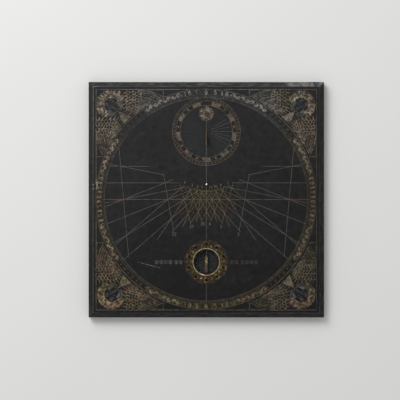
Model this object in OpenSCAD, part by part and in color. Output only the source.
// Multiple sundial on a square slate: a pin-gnomon dial, a small plate-gnomon dial and a compass.
// Z points out of the dial face. +Y is the south edge, +X the west edge, the origin is under the centre.

/* [Slate] */
// Side of the square slate
slate_side = 450; // [420:1:480]
// Thickness of the slate
slate_t = 24; // [20:0.5:30]
// Drop of the bevel below the face
bevel_drop = 7; // [4:0.5:10]
// Width of the bevel, in plan
bevel_w = 9.4; // [8:0.1:12]

/* [Place and latitude] */
// Latitude the hour lines are drawn for, in degrees
latitude = 42; // [36:0.5:48]
// The sun's greatest declination, in degrees
obliquity = 23.44; // [23.3:0.01:23.6]

/* [Main dial] */
// Height of the pin's ball centre above the face
nodus_h = 31.3; // [28:0.1:33]
// Distance of the pin's foot from the slate's centre, to the south
pin_y = 28.9; // [26:0.1:32]
// Width of an engraved and gilded hour line
line_w = 0.8; // [0.5:0.1:1.2]
// Thickness of the gold as laid
gold_t = 0.15; // [0.1:0.05:0.3]

/* [Main ring] */
// Shift of the ring's centre towards the east
ring_east = 0.7; // [0:0.1:1]
// Shift of the ring's centre towards the south
ring_south = 1; // [0:0.1:1.5]
// Inner radius of the degree scale
scale_r = 193.8; // [190:0.1:196]
// Outer radius of the degree scale, where the ornament band begins
scale_top_r = 199.6; // [198:0.1:201]
// Outer radius of the ornament band
band_r = 208.3; // [206:0.1:209]
// Outer radius of the closing double line
ring_r = 210.6; // [209.5:0.1:210.8]

/* [Small dial] */
// Distance of the small dial's centre from the slate's centre, to the south
small_y = 130; // [126:0.5:134]
// Radius of the small dial's inner line
small_r = 50.2; // [48:0.1:52]
// Radius between the two bands of the small dial
small_mid_r = 58.4; // [57:0.1:60]
// Outer radius of the small dial
small_out_r = 65.2; // [64:0.1:67]
// Base length of the plate gnomon
plate_l = 29; // [24:0.5:32]
// Thickness of the plate gnomon
plate_t = 1.4; // [1:0.1:2]
// Distance of the sun face from the slate's centre, to the south
sun_y = 163.9; // [162:0.1:165]
// Radius of the sun's disc
sun_r = 9.4; // [8:0.1:10]

/* [Compass] */
// Distance of the compass from the slate's centre, to the north
compass_north = 118.5; // [116:0.5:120]
// Inner radius of the compass bowl
bowl_r = 23.8; // [23:0.1:24.2]
// Half length of the needle
needle_half = 21.5; // [19:0.1:22]
// Angle of the resting needle from the meridian, in degrees
needle_tilt = -1.3; // [-5:0.1:5]

/* [Hidden] */

$fn = 96;
half = slate_side / 2;
face_z = slate_t;
face_half = half - bevel_w;
ring_c = [-ring_east, ring_south];
compass_c = [0, -compass_north];
small_line_w = 0.8;
scale_line_w = 0.5;
garland_r = 40;
garland_line_r = 42;
sun_ray = 5.6;
cut = 1;                       // how far a cutter runs past the surface that it cuts

// Closing double line of the ring, with an engraved groove between
ring_line_w = 0.7;
groove_w = 0.7;
groove_depth = 0.8;

// Pin setting
pin_r = 1.3;
pin_tip_r = 0.9;
ball_r = 1.9;
socket_r = 2.8;
socket_depth = 12;
pin_fit = 0.02;                // gap between the rod and its hole in the ball and the lead
pin_neck = 1.6;                // straight end of the rod, inside the ball
pin_foot = 0.4;                // the rod stays straight this far above the face
lead_rise = 0.25;              // the lead stands this far proud of the face

// Plate setting
slot_w = 3;
slot_depth = 7;
slot_end = 3;                  // the slot begins this far north of the dial's centre
slot_l = plate_l - 5;
tang_l = 6;
tang_depth = 6;
tang_from = 3;                 // the first tang begins this far along the slot

// Compass stack, from the slate upwards
well_r = bowl_r + 1.1;
well_floor = face_z - 14;
ledge_r = 26.8;
ledge_z = face_z - 3.2;
bowl_wall = 0.8;
bowl_base = well_floor + 0.3;
bowl_floor_t = 1;
flange_r = ledge_r - 0.15;
flange_t = 0.8;
glass_t = 1.6;
glass_z = ledge_z + flange_t;
ring_z = glass_z + glass_t;
ring_top = face_z + 0.6;
ring_in_r = 24.4;
card_t = 0.4;
card_z = bowl_base + bowl_floor_t;
pivot_r = 0.9;
pivot_collar_r = 1.7;
pivot_collar_t = 0.6;
pivot_tip_z = card_z + 6.2;
pivot_stem_r = 0.8;
point_r = 0.45;                // foot of the pivot's point
point_h = 1.2;
point_end_r = 0.05;
blade_t = 0.5;
blade_z = pivot_tip_z - 1.1;
needle_plate_t = 0.4;
needle_fit = 0.02;             // gap between the cap and what it passes through or holds
needle_gap = 0.08;             // running gap between the pivot's point and the jewel

// The cap passes through the blade and holds the jewel
cap_r = 1.6;
cap_h = 2.2;
cap_z = blade_z - 0.4;
cap_foot = [2.3, 0.4];         // radius and thickness of the rim under the blade
cap_dome = [0.9, 0.7];         // radius of its top and height of the cone up to it
jewel_r = 1;
jewel_h = 2.2;
jewel_drop = 0.3;              // the jewel's lower face is this far below the cap's

// Directions and points of the hour lines. A declination is d, an hour angle is h, both in degrees.
function half_day(d) = acos(-tan(latitude) * tan(d));
function sun_up(d, h) = sin(latitude) * sin(d) + cos(latitude) * cos(d) * cos(h);
function shadow(d, h) = [
    -nodus_h * cos(d) * sin(h) / sun_up(d, h),
    pin_y - nodus_h * (sin(latitude) * cos(d) * cos(h) - cos(latitude) * sin(d)) / sun_up(d, h)];

// Where a ray from point p along the unit vector u leaves a circle of radius r about the ring's centre
function leaves(p, u, r) =
    let (q = p - ring_c, b = q * u, c = q * q - r * r)
    -b + sqrt(b * b - c);
function enters(p, u, r) =
    let (q = p - ring_c, b = q * u, c = q * q - r * r)
    max(0, -b - sqrt(max(0, b * b - c)));
function unit(v) = v / norm(v);

line_reach = scale_r - 0.6;    // hour lines stop just inside the scale

// Ends of the line for n hours since sunrise: from the summer curve to the winter curve or the ring
function since_sunrise(n) =
    let (a = shadow(obliquity, 15 * n - half_day(obliquity)),
         b = shadow(obliquity - 3, 15 * n - half_day(obliquity - 3)),
         u = unit(b - a),
         night = 15 * n >= 2 * half_day(-obliquity) - 4,
         w = shadow(-obliquity, 15 * n - half_day(-obliquity)),
         far = leaves(a, u, line_reach),
         stop = night ? far : min(far, (w - a) * u))
    [a + enters(a, u, line_reach) * u, a + stop * u];
function mirrored(s) = [[-s[0][0], s[0][1]], [-s[1][0], s[1][1]]];

// Ends of the line for a fixed hour angle
function equal_hour(h) =
    let (a = shadow(obliquity, h),
         u = unit(shadow(obliquity - 3, h) - a),
         night = abs(h) >= half_day(-obliquity) - 4,
         w = shadow(-obliquity, h),
         far = leaves(a, u, line_reach),
         stop = night ? far : min(far, (w - a) * u))
    [a, a + stop * u];

equinox_y = pin_y - nodus_h * tan(latitude);
equinox_half = sqrt(line_reach * line_reach - pow(equinox_y - ring_south, 2));

sunrise_lines = [for (n = [1:13]) since_sunrise(n)];
sunset_lines = [for (s = sunrise_lines) mirrored(s)];
equal_lines = [for (h = [-90:15:90]) equal_hour(h)];

// The meridian is broken at the plate, the pin and the compass
meridian_gap = 0.4;
meridian_ends = [
    [sun_y - sun_r - sun_ray - meridian_gap, small_y + meridian_gap],
    [small_y - plate_l - meridian_gap, pin_y + socket_r + meridian_gap],
    [pin_y - socket_r - meridian_gap, garland_line_r + meridian_gap - compass_north],
    [-compass_north - garland_line_r - meridian_gap, ring_south - line_reach]];
meridian = [for (e = meridian_ends) [[0, e[0]], [0, e[1]]]];
equinoctial = [[-equinox_half - ring_east, equinox_y], [equinox_half - ring_east, equinox_y]];

// A flat gilded shape, laid on the face
module gilt() {
    color("goldenrod") translate([0, 0, face_z]) linear_extrude(gold_t) children();
}

// A straight stroke between two points
module stroke(s, w = line_w) {
    d = s[1] - s[0];
    translate(s[0]) rotate(atan2(d[1], d[0])) translate([0, -w / 2]) square([norm(d), w]);
}

module ring2d(r, w) {
    difference() {
        circle(r);
        circle(r - w);
    }
}

// Cutter of the bevel along the edge that lies on the X axis
module bevel_cut() {
    rotate([90, 0, 90]) translate([0, 0, -half - cut])
        linear_extrude(slate_side + 2 * cut)
            polygon([[-cut, face_z + cut], [-cut, face_z - bevel_drop * (1 + cut / bevel_w)],
                [bevel_w * (1 + cut / bevel_drop), face_z + cut]]);
}

module slate_slab() {
    color("#2e2e36") difference() {
        translate([-half, -half, 0]) cube([slate_side, slate_side, slate_t]);
        for (side = [0:90:270])
            rotate(side) translate([0, -half, 0]) bevel_cut();
        translate([ring_c[0], ring_c[1], face_z - groove_depth]) linear_extrude(groove_depth + cut)
            ring2d(ring_r - ring_line_w, groove_w);
        translate([0, pin_y, face_z - socket_depth]) cylinder(r = socket_r, h = socket_depth + cut);
        translate([-slot_w / 2, small_y - slot_end - slot_l, face_z - slot_depth])
            cube([slot_w, slot_l, slot_depth + cut]);
        translate([compass_c[0], compass_c[1], well_floor])
            cylinder(r = well_r, h = slate_t);
        translate([compass_c[0], compass_c[1], ledge_z])
            cylinder(r = ledge_r, h = slate_t);
    }
}

module border_line() {
    inset = 5.1;
    w = 0.9;
    gap = 1;                   // the line stops this short of the ring
    side = 2 * (face_half - inset);
    gilt() difference() {
        square(side, center = true);
        square(side - 2 * w, center = true);
        translate(ring_c) circle(ring_r + gap);
    }
}

module ring_lines() {
    gilt() translate(ring_c) {
        ring2d(ring_r, ring_line_w);
        ring2d(ring_r - ring_line_w - groove_w, ring_line_w);
        ring2d(scale_top_r, scale_line_w);
        ring2d(scale_r, scale_line_w);
    }
}

module degree_ticks() {
    pitch = 2.5;
    w = 0.6;
    inset = 0.3;
    tens = 4.6;                // length of a tick at each tenth degree
    others = 3;
    gilt() translate(ring_c)
        for (a = [0:pitch:360 - pitch])
            rotate(a) translate([scale_r + inset, -w / 2])
                square([a % 10 == 0 ? tens : others, w]);
}

// One leaf of the scroll along X: a full bow on one side and a slight one on the other, pointed at its ends
function leaf(l, w, n = 10) = concat(
    [for (i = [0:n]) [l * i / n, w * sin(180 * i / n) * (1 - 0.5 * i / n)]],
    [for (i = [n - 1:-1:1]) [l * i / n, -0.25 * w * sin(180 * i / n)]]);

// Leaves that lean one way and the other across the ornament band, on both sides of each cardinal point
module ring_scrolls() {
    mid = (scale_top_r + band_r) / 2;
    leaves = 10;
    first = 13;                // degrees from the cardinal point to the first leaf
    pitch = 4.3;
    lean = 25;
    leaf_l = 9.2;
    leaf_w = 3.4;
    gilt() translate(ring_c)
        for (side = [0:90:270], way = [-1, 1], k = [0:leaves - 1])
            rotate(side + way * (first + pitch * k)) translate([mid, 0])
                mirror([0, way < 0 ? 1 : 0]) rotate(90 + (k % 2 == 0 ? lean : -lean))
                    translate([-leaf_l / 2, 0]) polygon(leaf(leaf_l, leaf_w));
}

// The round field inside the degree scale, which no line of a dial leaves
module field() {
    translate(ring_c) circle(line_reach);
}

module hour_line_net() {
    gilt() intersection() {
        union() {
            for (s = sunrise_lines) stroke(s);
            for (s = sunset_lines) stroke(s);
            for (s = equal_lines) stroke(s);
            for (s = meridian) stroke(s);
            stroke(equinoctial);
        }
        field();
    }
}

// A slit that the meridian passes through
module meridian_slit() {
    translate([-line_w / 2 - 0.1, -small_out_r - cut]) square([line_w + 0.2, small_out_r + cut]);
}

// The outer circle runs into the degree scale at the top, and ends there
module small_dial_rings() {
    gilt() intersection() {
        translate([0, small_y]) difference() {
            union() {
                for (r = [small_r, small_mid_r, small_out_r])
                    ring2d(r, small_line_w);
            }
            meridian_slit();
        }
        field();
    }
}

module small_dial_blocks() {
    gap = 0.4;
    blocks = 9;
    step = 360 / blocks;
    trim = 1.3;                // degrees that each end of a block stays short of a half of its room
    gilt() translate([0, small_y]) difference() {
        for (k = [0:blocks - 1])
            rotate(90 - step / 2 - step * k) difference() {
                sector(small_mid_r - small_line_w - gap, step / 4 - trim);
                circle(small_r + gap);
            }
        meridian_slit();
    }
}

// A round slice with a half angle
module sector(r, half_angle) {
    far = 2 * r;
    intersection() {
        circle(r);
        polygon([[0, 0], [far, -far * tan(half_angle)], [far, far * tan(half_angle)]]);
    }
}

// Hour lines of the small dial: horizontal hours about the plate's foot
module small_dial_hours() {
    w = 0.6;
    from = 12;
    to = 44;
    gilt() translate([0, small_y])
        for (h = [30:15:120], side = [-1, 1])
            rotate(-90 + side * atan2(sin(latitude) * sin(h), cos(h))) translate([from, -w / 2])
                square([to - from, w]);
}

module sun_face() {
    rays = 16;
    foot = sun_r + 0.3;
    ray_w = 2.4;
    short = 4.2;
    eye = [3, 1.6];
    gilt() translate([0, sun_y]) {
        ring2d(sun_r, 2);
        for (k = [0:rays - 1])
            rotate(360 * k / rays)
                polygon([[foot, -ray_w / 2], [sun_r + (k % 2 == 0 ? sun_ray : short), 0], [foot, ray_w / 2]]);
        translate([0, -1]) circle(1.2);
        for (side = [-1, 1])
            translate([side * eye[0], eye[1]]) circle(0.9);
    }
}

module compass_garland() {
    inner = ledge_r + 0.6;
    spots = 10;
    spot_r = 3.2;
    line_w = 0.7;
    spot_ring_r = (inner + garland_r) / 2 + 0.7;
    gilt() translate(compass_c) {
        difference() {
            circle(garland_r);
            circle(inner);
            for (k = [0:spots - 1])
                rotate(90 + 360 * k / spots) translate([spot_ring_r, 0]) circle(spot_r);
        }
        ring2d(garland_line_r, line_w);
    }
}

// Corner figures are drawn for the south-west corner, and mirrored into the others
module in_corner(east, north) {
    gilt() mirror([east, 0]) mirror([0, north]) children();
}
head_in = 35.4;                // distance of a head from both sides of its corner
head = [face_half - head_in, face_half - head_in];
face_r = 15.4;                 // the bare stone of the face, inside the hair
hair_r = 21.6;                 // circle on which the curls lie
curl_r = 6.3;
hair_band = 2;                 // the band of hair runs this far past that circle
hair_spread = 95;              // the hair reaches this far to each side of the crown, in degrees

// Curls round the outer side of the head, on a band of hair
module wind_head() {
    curls = 9;
    translate(head) rotate(45) difference() {
        union() {
            for (k = [0:curls - 1])
                rotate(hair_spread * (2 * k / (curls - 1) - 1)) translate([hair_r, 0]) circle(curl_r);
            half_ring(hair_r + hair_band);
        }
        circle(face_r);
    }
}

// The part of a disc within hair_spread of the X axis
module half_ring(r) {
    far = 2 * r;
    difference() {
        circle(r);
        polygon([[0, 0], far * [cos(hair_spread), sin(hair_spread)], [-far, far], [-far, -far],
            far * [cos(hair_spread), -sin(hair_spread)]]);
    }
}

// A wing: feathers that lie between the border and the ring and follow both. A feather's share is 0 next
// to the border and 1 next to the ring, and its rib is at that share of the way between them. It is widest
// at its root by the head, and its half width falls with the cosine of the cubed distance to its tip.
feather_count = 9;
feather_fill = 0.4;            // half the width of a feather's root, as a part of its room
wing_gap = [7, 3.2];           // bare stone left along the face's edge and along the ring
function rib_at(x, share) =
    let (top = face_half - wing_gap[0], low = sqrt(pow(ring_r + wing_gap[1], 2) - x * x))
    [x, top + (low - top) * share];
function feather_root(share) = 156 - 38 * max(0, share - 0.5);
function feather_tip(share) = 118 - 42 * share;
module feathers(steps = 8) {
    for (k = [0:feather_count - 1]) {
        share = (k + 0.5) / feather_count;
        from = feather_root(share);
        run = (feather_tip(share) - from) / steps;
        half_share = [for (i = [0:steps]) feather_fill / feather_count * cos(90 * pow(i / steps, 3))];
        polygon(concat(
            [for (i = [0:steps]) rib_at(from + run * i, share - half_share[i])],
            [for (i = [steps - 1:-1:0]) rib_at(from + run * i, share + half_share[i])]));
    }
}

module wings() {
    feathers();
    mirror([1, -1]) feathers();
}

// Breath blown from each mouth on to the ring, widening as it goes
module breath_cones() {
    mouth = 12;                // from the middle of the head to the mouth, along X and along Y
    apex = head - [mouth, mouth];
    base = 151;                // middle of the cone's base, just clear of the ring
    spread = 7.6;
    for (east = [0, 1], north = [0, 1])
        in_corner(east, north)
            polygon([apex, [base + spread, base - spread], [base - spread, base + spread]]);
}

module pin_gnomon() {
    color("gold") translate([0, pin_y, 0]) {
        translate([0, 0, face_z - socket_depth]) cylinder(r = pin_r, h = socket_depth + pin_foot);
        translate([0, 0, face_z + pin_foot])
            cylinder(r1 = pin_r, r2 = pin_tip_r, h = nodus_h - pin_neck - pin_foot);
        translate([0, 0, face_z + nodus_h - pin_neck]) cylinder(r = pin_tip_r, h = pin_neck);
    }
}

module pin_ball() {
    color("ivory") translate([0, pin_y, face_z + nodus_h]) difference() {
        sphere(ball_r);
        translate([0, 0, -ball_r - cut]) cylinder(r = pin_tip_r + pin_fit, h = ball_r + cut);
    }
}

module pin_lead() {
    color("dimgray") translate([0, pin_y, face_z - socket_depth]) difference() {
        union() {
            cylinder(r = socket_r - pin_fit, h = socket_depth);
            translate([0, 0, socket_depth]) cylinder(r = socket_r - 0.3, h = lead_rise);
        }
        translate([0, 0, -cut]) cylinder(r = pin_r + pin_fit, h = socket_depth + 2 * cut);
    }
}

// The plate stands on the meridian, its straight style rising to the north at the latitude
module plate_gnomon() {
    rise = plate_l * tan(latitude);
    overlap = 0.4;             // the tangs run this far up into the plate
    belly = 8;                 // how far the back edge is hollowed
    nose = 2.2;                // height of the blunt end below the style's tip
    heel = 0.6;                // set-back of the plate's foot from under that end
    steps = 12;
    back = [for (i = [0:steps]) let (f = i / steps)
        [heel - plate_l + belly * sin(180 * f), (rise - nose) * (1 - f)]];
    color("#5a4632") translate([0, small_y, face_z]) rotate([90, 0, 90])
        translate([0, 0, -plate_t / 2]) linear_extrude(plate_t) union() {
            polygon(concat([[0, 0], [-plate_l, rise]], back));
            for (from = [slot_end + tang_from, slot_end + slot_l - tang_from - tang_l])
                translate([-from - tang_l, -tang_depth]) square([tang_l, tang_depth + overlap]);
        }
}

module plate_lead() {
    gap = 0.02;
    color("dimgray") translate([0, small_y - slot_end - slot_l, face_z - slot_depth]) difference() {
        translate([-slot_w / 2 + gap, gap, 0])
            cube([slot_w - 2 * gap, slot_l - 2 * gap, slot_depth - gap]);
        for (from = [tang_from, slot_l - tang_from - tang_l])
            translate([-plate_t / 2 - gap, from - gap, slot_depth - tang_depth - gap])
                cube([plate_t + 2 * gap, tang_l + 2 * gap, tang_depth + cut]);
    }
}

module at_compass(z = 0) {
    translate([compass_c[0], compass_c[1], z]) children();
}

module compass_bowl() {
    out = bowl_r + bowl_wall;
    color("peru") at_compass() difference() {
        union() {
            translate([0, 0, bowl_base]) cylinder(r = out, h = glass_z - bowl_base);
            translate([0, 0, ledge_z]) cylinder(r = flange_r, h = flange_t);
        }
        translate([0, 0, card_z]) cylinder(r = bowl_r, h = slate_t);
        translate([0, 0, well_floor]) cylinder(r = pivot_r + pin_fit, h = slate_t);
    }
}

module compass_card() {
    fit = 0.2;
    color("#20242a") at_compass(card_z) difference() {
        cylinder(r = bowl_r - fit, h = card_t);
        translate([0, 0, -cut]) cylinder(r = pivot_r + pin_fit, h = card_t + 2 * cut);
    }
}

module compass_pivot() {
    card_top = card_z + card_t;
    stem_z = card_top + pivot_collar_t - 0.1;
    point_z = pivot_tip_z - point_h;
    color("silver") at_compass() {
        translate([0, 0, bowl_base]) cylinder(r = pivot_r, h = card_top - bowl_base + 0.1);
        translate([0, 0, card_top]) cylinder(r = pivot_collar_r, h = pivot_collar_t);
        translate([0, 0, stem_z]) cylinder(r1 = pivot_stem_r, r2 = point_r, h = point_z - stem_z);
        translate([0, 0, point_z]) cylinder(r1 = point_r, r2 = point_end_r, h = point_h);
    }
}

module on_needle(z) {
    at_compass(z) rotate(needle_tilt) children();
}

// Steel blade: a slender tail to the south, a broad blade to the north
module needle_blade() {
    tail = [[0.7, needle_half], [1.3, 9], [2.2, 0]];
    blade = [[2.5, -11], [2.9, -needle_half + 2], [0, -needle_half]];
    outline = concat(tail, blade);
    color("#7b7f86") on_needle(blade_z) difference() {
        linear_extrude(blade_t) polygon(concat(outline,
            [for (i = [len(outline) - 2:-1:0]) [-outline[i][0], outline[i][1]]]));
        translate([0, 0, -cut]) cylinder(r = cap_r + needle_fit, h = blade_t + 2 * cut);
    }
}

module needle_plate() {
    color("gold") on_needle(blade_z + blade_t) difference() {
        linear_extrude(needle_plate_t) polygon([[0, 11.5], [2.3, 8], [2.7, 0], [2.3, -3.5],
            [0, -6], [-2.3, -3.5], [-2.7, 0], [-2.3, 8]]);
        translate([0, 0, -cut]) cylinder(r = cap_r + needle_fit, h = needle_plate_t + 2 * cut);
    }
}

module needle_cap() {
    color("gold") on_needle(cap_z) difference() {
        union() {
            cylinder(r = cap_r, h = cap_h);
            translate([0, 0, -cap_foot[1]]) cylinder(r = cap_foot[0], h = cap_foot[1]);
            translate([0, 0, cap_h]) cylinder(r1 = cap_r, r2 = cap_dome[0], h = cap_dome[1]);
        }
        translate([0, 0, -cut]) cylinder(r = jewel_r + needle_fit, h = cut + jewel_h - jewel_drop);
    }
}

module needle_jewel() {
    low = cap_z - jewel_drop;
    lip = 0.01;                // the cup is cut from this far below the jewel
    margin = 0.2;              // the cup is this much wider at its mouth and deeper than the gap asks
    cup_h = pivot_tip_z - low + needle_gap + margin;
    color("firebrick") on_needle(low) difference() {
        cylinder(r = jewel_r, h = jewel_h);
        translate([0, 0, -lip]) cylinder(r1 = point_r + needle_gap + margin, r2 = point_end_r, h = cup_h);
    }
}

module compass_glass() {
    color([0.8, 0.9, 0.9, 0.3]) at_compass(glass_z) cylinder(r = flange_r, h = glass_t);
}

module compass_ring() {
    w = flange_r - ring_in_r;
    h = ring_top - ring_z;
    edge = 0.5;                // both upper edges are broken by this much
    color("gold") at_compass(ring_z) rotate_extrude() translate([ring_in_r, 0])
        polygon([[0, 0], [w, 0], [w, h - edge], [w - edge, h], [edge, h], [0, h - edge]]);
}

slate_slab();
border_line();
ring_lines();
degree_ticks();
ring_scrolls();
hour_line_net();
small_dial_rings();
small_dial_blocks();
small_dial_hours();
sun_face();
compass_garland();
in_corner(0, 0) wind_head();  // wind_head_sw
in_corner(1, 0) wind_head();  // wind_head_se
in_corner(0, 1) wind_head();  // wind_head_nw
in_corner(1, 1) wind_head();  // wind_head_ne
in_corner(0, 0) wings();  // wings_sw
in_corner(1, 0) wings();  // wings_se
in_corner(0, 1) wings();  // wings_nw
in_corner(1, 1) wings();  // wings_ne
breath_cones();
pin_gnomon();
pin_ball();
pin_lead();
plate_gnomon();
plate_lead();
compass_bowl();
compass_card();
compass_pivot();
needle_blade();
needle_plate();
needle_cap();
needle_jewel();
compass_glass();
compass_ring();
